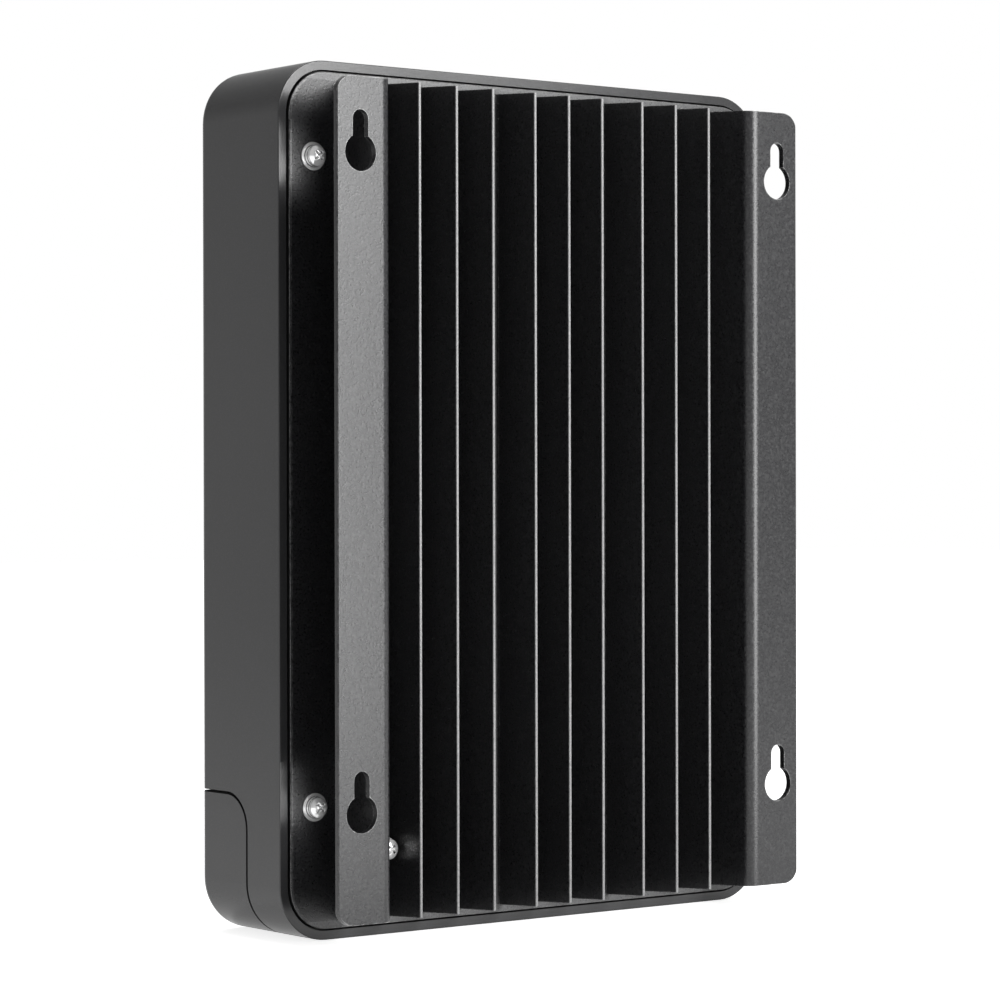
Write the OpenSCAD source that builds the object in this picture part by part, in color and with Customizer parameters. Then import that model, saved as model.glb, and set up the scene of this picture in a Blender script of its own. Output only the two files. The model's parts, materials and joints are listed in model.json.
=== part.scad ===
/* [Case] */
// Width of the case across its back
case_w = 172; // [150:1:200]
// Height of the case
case_h = 238; // [220:1:260]
// Depth of the case from its front face to its rear rim
case_depth = 39.5; // [38:0.5:48]
// Radius of the four upright and lying corners seen from the front
case_corner_r = 15; // [10:0.5:20]
// Radius of the edge around the front face
front_edge_r = 3; // [1:0.5:4]
// Radius of the outer edge of the rear rim
rim_edge_r = 0.3; // [0.2:0.1:1]
// Wall thickness of the moulded case
wall = 2.5; // [2.3:0.1:2.6]
// Width of the ledge inside the rim that carries the heatsink
ledge_w = 2; // [1.5:0.1:3]
// Height of that ledge along the depth of the case
ledge_h = 3; // [2:0.5:5]

/* [Heatsink plate] */
// Gap between the plate and the rim around it
plate_gap = 0.6; // [0.5:0.1:0.9]
// Thickness of the plate
plate_t = 3.8; // [3:0.1:5]
// Height of the plate's face above the rim
plate_proud = 0.8; // [0:0.1:2]
// Width of the shallow chamfer around the plate's face
plate_chamfer = 0.7; // [0.4:0.1:0.9]
// Depth of that chamfer
plate_chamfer_d = 0.25; // [0.2:0.05:0.3]
// Depth to which the end strips beyond the fins are milled
mill_depth = 0.1; // [0.05:0.05:0.2]

/* [Fins and wall flanges] */
// Distance from each end of the case to the ends of the fins and legs at the plate
fin_inset = 5.2; // [4:0.1:8]
// Angle by which the ends of fins, legs and flanges slant back from the plate
end_draft = 3.5; // [1:0.5:6]
// Thickness of a fin at its tip
fin_t = 0.8; // [0.7:0.1:1.2]
// Thickness of a fin at the plate
fin_root_t = 1.9; // [1.6:0.1:2.2]
// Distance from the rim to the fin tips
fin_reach = 17.5; // [12:0.1:19]
// Radius of the two edges of a fin tip
fin_tip_r = 0.25; // [0.15:0.05:0.3]
// Distance between fins in the middle group of three
fin_pitch_mid = 12; // [11:0.1:13]
// Distance between fins in the side groups
fin_pitch_side = 12.5; // [11:0.1:13]
// Distance from the inner face of a leg to the outermost fin's middle
channel_w = 11.9; // [11:0.1:13]
// Fillet where a fin meets the plate
fin_fillet = 0.8; // [0.4:0.1:1.2]
// Distance from the rim to the wall face of the flanges
wall_standoff = 21.6; // [20:0.1:26]
// Distance from the side of the case to the inner face of each flange's leg
leg_inset = 22.4; // [20:0.1:24]
// Thickness of the legs and flanges
flange_t = 1.8; // [1.5:0.1:2.4]
// Distance from the side of the case to the outer edge of each flange
flange_inset = 4.1; // [2:0.1:5]
// Radius of the outer corners of the flanges
flange_corner_r = 5; // [3:0.5:7]
// Outer radius of the bend between leg and flange
bend_r = 3.5; // [2.8:0.1:4]
// Fillet where a leg meets the plate
leg_fillet = 1.5; // [0.8:0.1:2]

/* [Keyholes] */
// Distance from the outer edge of a flange to its column of keyholes
key_edge_x = 7.65; // [7:0.05:8]
// Height of the lower round holes above the case's base
key_low_z = 35.8; // [34:0.1:40]
// Distance from the top of the case down to the upper round holes
key_drop_z = 26.7; // [24:0.1:30]
// Radius of the round part of a keyhole
key_r = 5; // [4.5:0.1:5.5]
// Radius of the end of the hanging slot
slot_r = 2.5; // [2.2:0.1:2.7]
// Rise of the slot's end above the round hole's centre
slot_rise = 8.9; // [8:0.1:11]

/* [Heatsink screws] */
// Distance from the side edge of the plate to its screws
screw_inset = 7.5; // [7.2:0.1:8]
// Rise of those screws above the middle of the keyholes
screw_rise = 0.5; // [0:0.1:0.6]
// Radius of the screw shank
screw_r = 1.5; // [1.2:0.1:1.6]
// Radius of the pan head
head_r = 2.75; // [2.5:0.05:2.9]
// Height of the pan head
head_h = 2.2; // [1.8:0.1:2.4]
// Length of the shank under the head
screw_len = 14; // [12:0.5:15]
// Radius of the flat washer
flat_washer_r = 3.85; // [3.4:0.05:3.9]
// Thickness of the flat washer
flat_washer_t = 0.5; // [0.4:0.1:0.8]
// Outer radius of the spring washer
spring_washer_r = 2.9; // [2.8:0.05:3.2]
// Thickness of the spring washer
spring_washer_t = 0.9; // [0.7:0.1:1]
// Radius of the screw bosses inside the case
boss_r = 4.2; // [4:0.1:4.5]
// Radial gap between a screw and the hole it is threaded into
thread_gap = 0.05; // [0.02:0.01:0.1]

/* [Earth screw] */
// Distance from the inner face of the leg to the earth screw
earth_inset = 7.5; // [7.2:0.1:7.6]
// Height of the earth screw above the case's base
earth_z = 24.3; // [20:0.1:30]
// Height of the hexagonal spacer that lifts its head
earth_nut_h = 5.8; // [4:0.1:6.5]
// Radius of that spacer over its corners
earth_nut_r = 2.6; // [2.5:0.05:2.65]
// Radius of the flat washer on that spacer
earth_washer_r = 3.3; // [2.9:0.1:3.4]

/* [Terminal cover] */
// Height of the terminal cover
cover_h = 38.8; // [36:0.2:42]
// Distance from the rim forward to the cover's rear edge
cover_setback = 16.2; // [15.8:0.1:18]
// Radius of the cover's upper rear corner on the side
cover_corner_r = 9.5; // [6:0.5:12]
// Gap between the cover and the housing
cover_gap = 0.3; // [0.2:0.05:0.5]
// Width of the groove along the parting line
groove_w = 0.8; // [0.5:0.1:1.2]
// Depth of the groove along the parting line
groove_d = 0.9; // [0.5:0.1:1.2]
// Width of a cable slot in the base of the cover
cable_slot_w = 9.5; // [9:0.1:10.5]
// Distance from the side of the case to each cover screw
cover_screw_inset = 14; // [13:0.5:15]
// Height of the cover screws above the base
cover_screw_z = 22; // [18:0.5:26]

/* [Terminals] */
// Number of cable terminals
pole_count = 6; // [4:1:6]
// Distance between cable terminals
pole_pitch = 13; // [12.6:0.1:13.2]
// Distance between a cover screw and the terminal block beside it
block_inset = 11; // [9:0.5:12]
// Height of the terminal block above the case's base
block_z = 8; // [6:0.5:10]
// Height of the terminal block
block_h = 23; // [20:0.5:25]
// Depth of the terminal block in front of the board
block_d = 19; // [18:0.5:19.5]
// Width of a wire way in the block
wire_w = 9.6; // [9:0.1:10]
// Depth of a wire way in the block
wire_d = 11; // [10:0.1:12]
// Wall of a clamp cage
cage_t = 1; // [0.8:0.1:1.2]
// Height of a clamp cage
cage_h = 9; // [8:0.5:10]

/* [Boards] */
// Distance from the side of the case to the main board
board_side = 18; // [17:0.5:20]
// Thickness of both boards
board_t = 1.6; // [1:0.1:2]
// Distance from the rim forward to the back of the main board
board_setback = 12.3; // [12:0.1:12.4]
// Distance from the board's lower edge to the case's base
board_z = 8; // [6:0.5:10]
// Distance from the top of the case to the main board
board_drop = 14; // [12:1:16]
// Width of the display board
display_board_w = 112; // [100:1:116]
// Height of the display board
display_board_h = 80; // [78:1:84]
// Distance from the top of the case to the display board's middle
display_drop = 65; // [60:1:67]

/* [Display and keys] */
// Width of the display window
window_w = 64; // [56:1:70]
// Height of the display window
window_h = 36; // [30:1:40]
// Rise of the display window's middle above the display board's middle
window_rise = 10; // [8:1:12]
// Thickness of the display module
lcd_t = 3.2; // [2.8:0.1:3.6]
// Width of a key
key_w = 14; // [12:0.5:16]
// Height of a key
key_h = 8; // [7:0.5:9]
// Distance between keys
key_pitch = 22; // [20:0.5:24]
// Drop of the keys below the display board's middle
key_drop = 26; // [24:1:28]
// Clearance around each key
key_clear = 0.25; // [0.2:0.05:0.4]
// Travel of a key
key_travel = 0.5; // [0.3:0.1:0.6]
// Depth of the key row below the front face
key_sunk = 0.4; // [0.2:0.1:0.8]
// Radius of a light pipe
pipe_r = 1.8; // [1.5:0.1:2]

/* [Power parts] */
// Outer radius of an inductor
inductor_r = 21; // [18:0.5:22]
// Radius of the hole through an inductor
inductor_hole_r = 8.5; // [7:0.5:10]
// Height of an inductor
inductor_h = 19; // [16:0.5:20]
// Number of turns that show on an inductor
inductor_turns = 24; // [18:1:28]
// Radius of an electrolytic capacitor
cap_r = 8; // [6:0.5:8.5]
// Height of an electrolytic capacitor
cap_h = 19; // [16:0.5:20]
// Number of power transistors in each row
transistor_count = 5; // [3:1:5]

/* [Hidden] */
$fn = 48;
overlap = 0.01;
total_depth = case_depth + wall_standoff;
wall_y = total_depth / 2;
rim_y = wall_y - wall_standoff;
front_y = -total_depth / 2;
plate_face_y = rim_y + plate_proud;
plate_back_y = plate_face_y - plate_t;
plate_w = case_w - 2 * (wall + plate_gap);
plate_h = case_h - 2 * (wall + plate_gap);
plate_r = case_corner_r - wall - plate_gap;
fin_tip_y = rim_y + fin_reach;
tuck = 0.1;
leg_x = case_w / 2 - leg_inset;
flange_x = case_w / 2 - flange_inset;
key_x = flange_x - key_edge_x;
fin_places = [for (side = [-1, 0, 1], i = [0, 1, 2])
    side == 0 ? (i - 1) * fin_pitch_mid : side * (leg_x - channel_w - i * fin_pitch_side)];
key_rows = [key_low_z, case_h - key_drop_z];
screw_x = plate_w / 2 - screw_inset;
earth_x = leg_x - earth_inset;
screw_hole_r = screw_r + 0.2;
pilot_r = screw_r + thread_gap;
screw_places = [for (x = [-screw_x, screw_x], z = key_rows) [x, z + screw_rise]];
flat_washer_y = plate_face_y;
spring_washer_y = flat_washer_y + flat_washer_t;
head_y = spring_washer_y + spring_washer_t;
cover_back_y = rim_y - cover_setback;
front_in_y = front_y + wall;
floor_t = 1.6;
web_t = 1.6;
floor_y = cover_back_y + cover_gap;
floor_in_y = floor_y + floor_t;
cover_screw_x = case_w / 2 - cover_screw_inset;
cover_boss_h = 2;
cover_boss_y = front_in_y + cover_boss_h;
cover_screw_sunk = 2.6;
cover_screw_seat_y = front_y + cover_screw_sunk;
cover_screw_len = 12;
shelf_z = cover_h + cover_gap;
board_back_y = rim_y - board_setback;
board_front_y = board_back_y - board_t;
board_w = case_w - 2 * board_side;
board_top = case_h - board_drop;
board_h = board_top - board_z;
standoff_r = 2.5;
standoff_x = board_w / 2 - 2 * standoff_r;
standoff_low = shelf_z + 16;
standoff_high = board_top - 6;
standoff_places = [for (x = [-1, 1] * standoff_x, i = [0, 0.5, 1])
    [x, standoff_low + i * (standoff_high - standoff_low)]];
block_x0 = block_inset - cover_screw_x;
block_w = pole_count * pole_pitch;
pole_x = [for (i = [0:pole_count - 1]) block_x0 + (i + 0.5) * pole_pitch];
wire_y = board_front_y - block_d / 2;
wire_way_h = 16;
display_z = case_h - display_drop;
display_stand = 6.8;
display_back_y = front_in_y + display_stand;
display_front_y = display_back_y - board_t;
window_z = display_z + window_rise;
lens_t = 1.2;
lens_lip = 2.5;
lens_lip_t = 1;
key_z = display_z - key_drop;
key_places = [for (i = [0:3]) (i - 1.5) * key_pitch];
key_front_y = front_y + key_sunk;
key_flange = 1;
key_flange_t = 1;
key_flange_y = front_in_y + 0.3;
switch_w = 6;
switch_body_h = 3;
switch_y = display_front_y - switch_body_h;
plunger_r = 1.75;
plunger_top_y = switch_y - 0.9;
display_pilot_r = 1;
lamp_w = 3;
lamp_t = 2;
lamp_x = [for (i = [0:2]) (i - 1) * window_w / 4];
lamp_gap = 2;
lamp_z = display_z + window_rise + window_h / 2 + 9;
case_gray = "#4b4c4f";
metal_black = "#1b1c1e";
bright_steel = "#c9ccd0";

// Rectangle with its middle at the origin and round corners, as squares and circles
module round_rect(w, h, r) {
    square([w - 2 * r, h], center = true);
    square([w, h - 2 * r], center = true);
    for (x = [-1, 1], y = [-1, 1])
        translate([x * (w / 2 - r), y * (h / 2 - r)]) circle(r);
}

// Plate that stands in the XZ plane from z = 0, with its back at y and its front at y - depth
module upright_plate(w, h, r, back, depth, z = 0) {
    translate([0, back, z + h / 2]) rotate([90, 0, 0]) linear_extrude(depth) round_rect(w, h, r);
}

// Cylinder along Y that runs forward from y
module post(x, back, z, r, depth) {
    translate([x, back, z]) rotate([90, 0, 0]) cylinder(h = depth, r = r);
}

// Block given by its middle in X, its back, its base and its size
module block(x, back, z, w, depth, h) {
    translate([x - w / 2, back - depth, z]) cube([w, depth, h]);
}

// Section of a soft-edged box: width across, from the rim at 0 forward to -depth
module soft_section(w, depth, front_r, back_r) {
    translate([-w / 2, -depth + front_r]) square([w, depth - front_r - back_r]);
    translate([-w / 2 + front_r, -depth]) square([w - 2 * front_r, front_r]);
    translate([-w / 2 + back_r, -back_r]) square([w - 2 * back_r, back_r]);
    for (x = [-1, 1]) {
        translate([x * (w / 2 - front_r), -depth + front_r]) circle(front_r);
        translate([x * (w / 2 - back_r), -back_r]) circle(back_r);
    }
}

// Box with round corners, a round front edge and a small round on its rear edge
module soft_box(w, h, depth, corner_r, front_r, back_r) {
    translate([0, 0, corner_r]) linear_extrude(h - 2 * corner_r)
        soft_section(w, depth, front_r, back_r);
    translate([-w / 2 + corner_r, 0, h / 2]) rotate([0, 90, 0]) linear_extrude(w - 2 * corner_r)
        soft_section(h, depth, front_r, back_r);
    for (x = [-1, 1], z = [corner_r, h - corner_r])
        translate([x * (w / 2 - corner_r), 0, z]) rotate([-90, 0, 0]) rotate_extrude($fn = 96)
            intersection() {
                soft_section(2 * corner_r, depth, front_r, back_r);
                translate([0, -depth]) square([corner_r, depth]);
            }
}

// Side outline of the terminal cover, grown by a gap, with Y across and Z up
module cover_side(grow) {
    back = cover_back_y + grow;
    top = cover_h + grow;
    r = cover_corner_r + grow;
    translate([front_y - 5, -5]) square([back - front_y + 5, top - r + 5]);
    translate([front_y - 5, -5]) square([back - r - front_y + 5, top + 5]);
    translate([back - r, top - r]) circle(r);
}

// The cover's side outline pushed through the width of the case
module cover_prism(grow) {
    translate([case_w / 2 + 5, 0, 0]) rotate([90, 0, -90]) mirror([1, 0, 0])
        linear_extrude(case_w + 10) cover_side(grow);
}

// Outer form of the case, shared by housing and cover
module case_form() {
    translate([0, rim_y, 0])
        soft_box(case_w, case_h, case_depth, case_corner_r, front_edge_r, rim_edge_r);
}

// Shallow groove along the parting line on the outside of both pieces
module parting_groove() {
    difference() {
        cover_prism(cover_gap / 2 + groove_w / 2);
        cover_prism(cover_gap / 2 - groove_w / 2);
        upright_plate(case_w - 2 * groove_d, case_h - 2 * groove_d, case_corner_r - groove_d,
            rim_y + 5, case_depth + 5 - groove_d, groove_d);
    }
}

// Chamfered round-cornered layer on the plate's wall side
module chamfer_layer() {
    c = plate_chamfer;
    translate([0, plate_face_y - plate_chamfer_d, case_h / 2]) {
        translate([0, 0, -plate_h / 2 + plate_r]) linear_extrude(plate_h - 2 * plate_r)
            chamfer_section(plate_w / 2);
        translate([-plate_w / 2 + plate_r, 0, 0]) rotate([0, 90, 0]) linear_extrude(plate_w - 2 * plate_r)
            chamfer_section(plate_h / 2);
        for (x = [-1, 1], z = [-1, 1])
            translate([x * (plate_w / 2 - plate_r), 0, z * (plate_h / 2 - plate_r)])
                rotate([-90, 0, 0])
                    cylinder(h = plate_chamfer_d, r1 = plate_r, r2 = plate_r - c, $fn = 96);
    }
}

// Section of the chamfered layer, sunk a little into the plate below it
module chamfer_section(half) {
    c = plate_chamfer;
    polygon([[-half, 0], [-half + overlap, -overlap], [half - overlap, -overlap], [half, 0],
        [half - c, plate_chamfer_d], [-half + c, plate_chamfer_d]]);
}

// Fillet in the corner between the plate and something that stands on it
module foot_fillet(x, side, r) {
    translate([x, plate_face_y]) difference() {
        translate([side > 0 ? -tuck : -r, -overlap]) square([r + tuck, r + overlap]);
        translate([side * r, r]) circle(r);
    }
}

// One fin in section, thicker at the plate than at its tip
module fin_section(x) {
    root = fin_root_t / 2;
    tip = fin_t / 2;
    polygon([[x - root, plate_face_y - overlap], [x + root, plate_face_y - overlap],
        [x + tip, fin_tip_y - fin_tip_r], [x - tip, fin_tip_y - fin_tip_r]]);
    translate([x - tip + fin_tip_r, plate_face_y])
        square([2 * (tip - fin_tip_r), fin_tip_y - plate_face_y]);
    for (s = [-1, 1]) {
        translate([x + s * (tip - fin_tip_r), fin_tip_y - fin_tip_r]) circle(fin_tip_r);
        foot_fillet(x + s * root, s, fin_fillet);
    }
}

// Leg and flange of the right-hand side in section
module flange_section() {
    edge_r = 0.5;
    translate([leg_x, plate_face_y - overlap])
        square([flange_t, wall_y - bend_r - plate_face_y + overlap]);
    translate([leg_x + bend_r, wall_y - flange_t])
        square([flange_x - edge_r - leg_x - bend_r, flange_t]);
    translate([flange_x - edge_r, wall_y - flange_t + edge_r])
        square([edge_r, flange_t - 2 * edge_r]);
    for (y = [wall_y - edge_r, wall_y - flange_t + edge_r])
        translate([flange_x - edge_r, y]) circle(edge_r);
    intersection() {
        translate([leg_x + bend_r, wall_y - bend_r]) difference() {
            circle(bend_r);
            circle(bend_r - flange_t);
        }
        translate([leg_x, wall_y - bend_r]) square([bend_r, bend_r]);
    }
    foot_fillet(leg_x, -1, fin_fillet);
    foot_fillet(leg_x + flange_t, 1, leg_fillet);
}

// Keyhole cut through a flange: a round hole with a hanging slot above it
module keyhole(x, z) {
    reach = flange_t + 4;
    post(x, wall_y + 2, z, key_r, reach);
    post(x, wall_y + 2, z + slot_rise, slot_r, reach);
    block(x, wall_y + 2, z, 2 * slot_r, reach, slot_rise);
}

// Height at which the fins, legs and flanges end at a depth y
function end_z(y) = fin_inset + (y - plate_face_y) * tan(end_draft);

// Cuts the ends of fins, legs and flanges on a slant and mills the plate in front of them
module end_cuts() {
    low = plate_face_y - mill_depth;
    top = wall_y + 1;
    for (m = [0, 1]) translate([0, 0, m * case_h]) mirror([0, 0, m]) {
        rotate([90, 0, 90]) linear_extrude(case_w, center = true)
            polygon([[low, -1], [top, -1], [top, end_z(top)], [low, end_z(low)]]);
        for (x = [-flange_x, flange_x]) flange_corner(x);
    }
}

// Rounds the outer corner of a flange, square to its slanting end
module flange_corner(x) {
    r = flange_corner_r;
    reach = wall_y - bend_r - plate_face_y;
    translate([x, plate_face_y, fin_inset]) rotate([end_draft, 0, 0]) translate([0, 40, 0])
        rotate([90, 0, 0]) linear_extrude(40 - reach) difference() {
            translate([x > 0 ? -r : -1, -1]) square(r + 1);
            translate([x > 0 ? -r : r, r]) circle(r);
        }
}

// One-piece extrusion: plate, fins, legs and wall flanges
module heatsink() color(metal_black) difference() {
    union() {
        upright_plate(plate_w, plate_h, plate_r, plate_face_y - plate_chamfer_d,
            plate_t - plate_chamfer_d, (case_h - plate_h) / 2);
        chamfer_layer();
        linear_extrude(case_h) {
            for (x = fin_places) fin_section(x);
            flange_section();
            mirror([1, 0]) flange_section();
        }
    }
    end_cuts();
    for (x = [-key_x, key_x], z = key_rows) keyhole(x, z);
    for (p = screw_places) post(p[0], plate_face_y + 1, p[1], screw_hole_r, plate_t + 2);
    post(earth_x, plate_face_y + 1, earth_z, screw_r, plate_t);
    for (p = standoff_places) post(p[0], plate_face_y - 1, p[1], pilot_r, plate_t);
    for (p = clamp_places) post(p[0], plate_face_y - 1, p[1], pilot_r, plate_t);
}

// Screw with a pan head that has a cross recess, its head towards the wall
module pan_screw(x, under_head, z, shank_r, shank_len) {
    difference() {
        union() {
            translate([x, under_head, z]) rotate([-90, 0, 0]) rotate_extrude()
                intersection() {
                    union() {
                        square([head_r, head_h * 0.45]);
                        translate([0, head_h * 0.45]) scale_disc(head_r, head_h * 0.55);
                    }
                    square([head_r, head_h]);
                }
            post(x, under_head + overlap, z, shank_r, shank_len + overlap);
        }
        cross_recess(x, under_head + head_h, z);
    }
}

// Half of a low dome in section, as an arc through its rim and its crown
module scale_disc(r, h) {
    dome_r = (r * r + h * h) / (2 * h);
    intersection() {
        translate([0, h - dome_r]) circle(dome_r, $fn = 96);
        square([r, h]);
    }
}

// Cross recess that goes into a head from its top
module cross_recess(x, top, z) {
    arm = head_r * 0.58;
    for (a = [45, 135]) translate([x, top + 0.2, z]) rotate([0, a, 0])
        translate([-arm, -1.3, -0.35]) cube([2 * arm, 1.4, 0.7]);
}

// Flat ring along Y, its back on the piece below
module ring(x, base, z, outer, inner, t) {
    difference() {
        post(x, base + t, z, outer, t);
        post(x, base + t + 1, z, inner, t + 2);
    }
}

module heatsink_screws() color(bright_steel)
    for (p = screw_places) pan_screw(p[0], head_y, p[1], screw_r, screw_len);

module spring_washers() color(bright_steel)
    for (p = screw_places) spring_ring(p[0], spring_washer_y, p[1]);

// Spring washer: a ring with a slanted split
module spring_ring(x, base, z) {
    difference() {
        ring(x, base, z, spring_washer_r, screw_hole_r, spring_washer_t);
        translate([x, base, z]) rotate([0, 0, 30]) translate([-0.15, -2, 0]) cube([0.3, 5, 5]);
    }
}

module flat_washers() color(bright_steel)
    for (p = screw_places)
        ring(p[0], flat_washer_y, p[1], flat_washer_r, screw_hole_r, flat_washer_t);

// Earth point in the channel beside the outermost fin
earth_washer_y = plate_face_y + earth_nut_h;
module earth_screw() color(bright_steel)
    pan_screw(earth_x, earth_washer_y + flat_washer_t + spring_washer_t, earth_z, screw_r - 0.05,
        earth_nut_h + flat_washer_t + spring_washer_t + plate_t - 1.5);

module earth_spacer() color(bright_steel) difference() {
    translate([earth_x, earth_washer_y, earth_z]) rotate([90, 0, 0])
        cylinder(h = earth_nut_h, r = earth_nut_r, $fn = 6);
    post(earth_x, earth_washer_y + 1, earth_z, screw_hole_r, earth_nut_h + 2);
}

module earth_washers() color(bright_steel) {
    ring(earth_x, earth_washer_y, earth_z, earth_washer_r, screw_hole_r, flat_washer_t);
    spring_ring(earth_x, earth_washer_y + flat_washer_t, earth_z);
}

// Inside of the case above the terminal space, and behind it down to the base
module case_hollow() {
    in_r = case_corner_r - wall;
    difference() {
        upright_plate(case_w - 2 * wall, case_h - 2 * wall, in_r, rim_y + 1,
            case_depth + 1 - wall, wall);
        cover_prism(cover_gap + floor_t);
    }
}

// Ledge around the inside of the rim, under the heatsink's plate
module rim_ledge() {
    difference() {
        upright_plate(case_w - wall, case_h - wall, case_corner_r - wall / 2, plate_back_y, ledge_h,
            wall / 2);
        upright_plate(case_w - 2 * (wall + ledge_w), case_h - 2 * (wall + ledge_w),
            case_corner_r - wall - ledge_w, plate_back_y + 1, ledge_h + 2, wall + ledge_w);
    }
}

// Opening in the front of the lower housing through which the terminal parts stand
block_clear = 0.4;
module terminal_opening() {
    x0 = block_x0 - block_clear;
    x1 = socket_x[1] + sensor_w / 2 + block_clear;
    translate([x0, floor_y - 1, block_z - block_clear])
        cube([x1 - x0, floor_t + 2, block_h + 2 * block_clear]);
}

module front_housing() color(case_gray) difference() {
    union() {
        difference() {
            union() {
                difference() {
                    case_form();
                    case_hollow();
                }
                rim_ledge();
                for (p = screw_places) {
                    post(p[0], plate_back_y, p[1], boss_r, plate_back_y - front_in_y + overlap);
                    boss_web(p[0], p[1]);
                }
            }
            cover_prism(cover_gap);
        }
        for (p = display_screw_places)
            post(p[0], display_front_y, p[1], 3, display_front_y - front_in_y + overlap);
        for (x = [-1, 1])
            post(x * cover_screw_x, floor_in_y, cover_screw_z, boss_r, floor_in_y - cover_boss_y);
    }
    parting_groove();
    for (p = screw_places) post(p[0], plate_back_y + 1, p[1], pilot_r, 12);
    for (p = display_screw_places) post(p[0], display_front_y + 1, p[1], display_pilot_r, 5);
    for (x = [-1, 1])
        post(x * cover_screw_x, cover_screw_seat_y + cover_screw_len + 1, cover_screw_z, pilot_r,
            cover_screw_len + 2);
    upright_plate(window_w, window_h, 3, front_in_y + 1, wall + 2, window_z - window_h / 2);
    for (x = key_places)
        upright_plate_at(x, key_z, key_w + 2 * key_clear, key_h + 2 * key_clear, 2);
    for (x = lamp_x) post(x, front_in_y + 1, lamp_z, pipe_r + 0.1, wall + 2);
    terminal_opening();
}

// Web that ties a heatsink boss to the side wall
module boss_web(x, z) {
    length = case_w / 2 - wall / 2 - screw_x;
    block(x + sign(x) * length / 2, plate_back_y - ledge_h, z - web_t / 2, length,
        plate_back_y - ledge_h - front_in_y + overlap, web_t);
}

// Opening of a key through the front wall
module upright_plate_at(x, z, w, h, r) {
    translate([x, 0, 0]) upright_plate(w, h, r, front_in_y + 1, wall + 2, z - h / 2);
}

module terminal_cover() color(case_gray) difference() {
    union() {
        intersection() {
            difference() {
                case_form();
                upright_plate(case_w - 2 * wall, case_h, case_corner_r - wall, rim_y,
                    case_depth - wall, wall);
            }
            cover_prism(0);
        }
        cover_roof();
    }
    parting_groove();
    for (x = pole_x) cable_slot(x, cable_slot_w);
    for (i = [0, 1]) cable_slot(socket_x[i], socket_w[i] - 1);
    for (x = [-1, 1]) {
        post(x * cover_screw_x, front_y + 30, cover_screw_z, screw_hole_r, 40);
        post(x * cover_screw_x, cover_screw_seat_y, cover_screw_z, head_r + 0.35, 5);
    }
}

// Upper wall of the cover, flat up to where its side outline starts to curve
module cover_roof() {
    roof_d = case_depth - cover_setback - cover_corner_r - wall / 2;
    block(0, front_y + wall / 2 + roof_d, cover_h - wall, case_w - wall, roof_d, wall);
    for (x = [-1, 1]) post(x * cover_screw_x, cover_boss_y, cover_screw_z, boss_r,
        cover_boss_y - front_y - wall / 2);
}

// Round-ended slot in the base of the cover, open to its rear edge
module cable_slot(x, w) {
    end_y = wire_y - 1;
    translate([x, end_y, -1]) cylinder(h = wall + 2, r = w / 2);
    translate([x - w / 2, end_y, -1]) cube([w, cover_back_y - end_y + 1, wall + 2]);
}

module cover_screws() color(bright_steel) for (x = [-1, 1])
    translate([x * cover_screw_x, cover_screw_seat_y, cover_screw_z]) mirror([0, 1, 0])
        pan_screw_at_origin(screw_r, cover_screw_len);

// Pan screw with its seat at the origin, head towards +Y
module pan_screw_at_origin(shank_r, shank_len) {
    pan_screw(0, 0, 0, shank_r, shank_len);
}

// Boards
module main_board() color("#1f5a3a") difference() {
    block(0, board_back_y, board_z, board_w, board_t, board_h);
    for (p = standoff_places) post(p[0], board_back_y + 1, p[1], screw_hole_r, board_t + 2);
}

standoff_len = plate_back_y - board_back_y;
board_screw_grip = 4.5;
module board_standoffs() color("#b8964a") for (p = standoff_places) difference() {
    translate([p[0], plate_back_y, p[1]]) rotate([90, 0, 0])
        cylinder(h = standoff_len, r = standoff_r, $fn = 6);
    post(p[0], board_back_y + board_screw_grip + 0.5, p[1], pilot_r, board_screw_grip + 1.5);
}

module board_screws() color(bright_steel) for (p = standoff_places)
    translate([p[0], board_front_y, p[1]]) mirror([0, 1, 0])
        pan_screw_at_origin(screw_r, board_t + board_screw_grip);

// Power transistors lie flat behind the board, pressed on a pad by a clamp bar
transistor_rows = [84, 160];
transistor_pitch = 24;
transistor_w = 10.2;
transistor_h = 15.4;
transistor_t = 4.4;
pad_t = 0.4;
clamp_t = 2;
transistor_x = [for (i = [0:transistor_count - 1]) (i - (transistor_count - 1) / 2) * transistor_pitch];
clamp_y = plate_back_y - pad_t - transistor_t;
clamp_places = [for (z = transistor_rows, i = [0:transistor_count - 2])
    [transistor_x[i] + transistor_pitch / 2, z]];

module thermal_pads() color("#8d9aa5") difference() {
    for (z = transistor_rows)
        block(0, plate_back_y, z - 10, transistor_count * transistor_pitch, pad_t, 20);
    for (p = clamp_places) post(p[0], plate_back_y + 1, p[1], screw_hole_r, pad_t + 2);
}

module power_transistors() color("#202124") for (z = transistor_rows, x = transistor_x) {
    block(x, plate_back_y - pad_t, z - transistor_h / 2, transistor_w, transistor_t, transistor_h);
    for (i = [-1, 0, 1]) transistor_lead(x + i * 2.54, z - transistor_h / 2);
}

// Lead that leaves the body downwards and turns forward through the board
module transistor_lead(x, z) {
    lead_y = plate_back_y - pad_t - transistor_t / 2;
    block(x, lead_y + 0.25, z - 3, 0.8, 0.5, 3 + overlap);
    block(x, lead_y + 0.25, z - 3, 0.8, lead_y + 0.25 - board_back_y, 0.5);
}

module transistor_clamps() color("#9a9da1") difference() {
    for (z = transistor_rows)
        block(0, clamp_y, z - 4, transistor_count * transistor_pitch - 8, clamp_t, 8);
    for (p = clamp_places) post(p[0], clamp_y + 1, p[1], screw_hole_r, clamp_t + 2);
}

module clamp_screws() color(bright_steel) for (p = clamp_places)
    translate([p[0], clamp_y - clamp_t, p[1]]) mirror([0, 1, 0])
        pan_screw_at_origin(screw_r, clamp_t + transistor_t + pad_t + 2);

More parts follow.
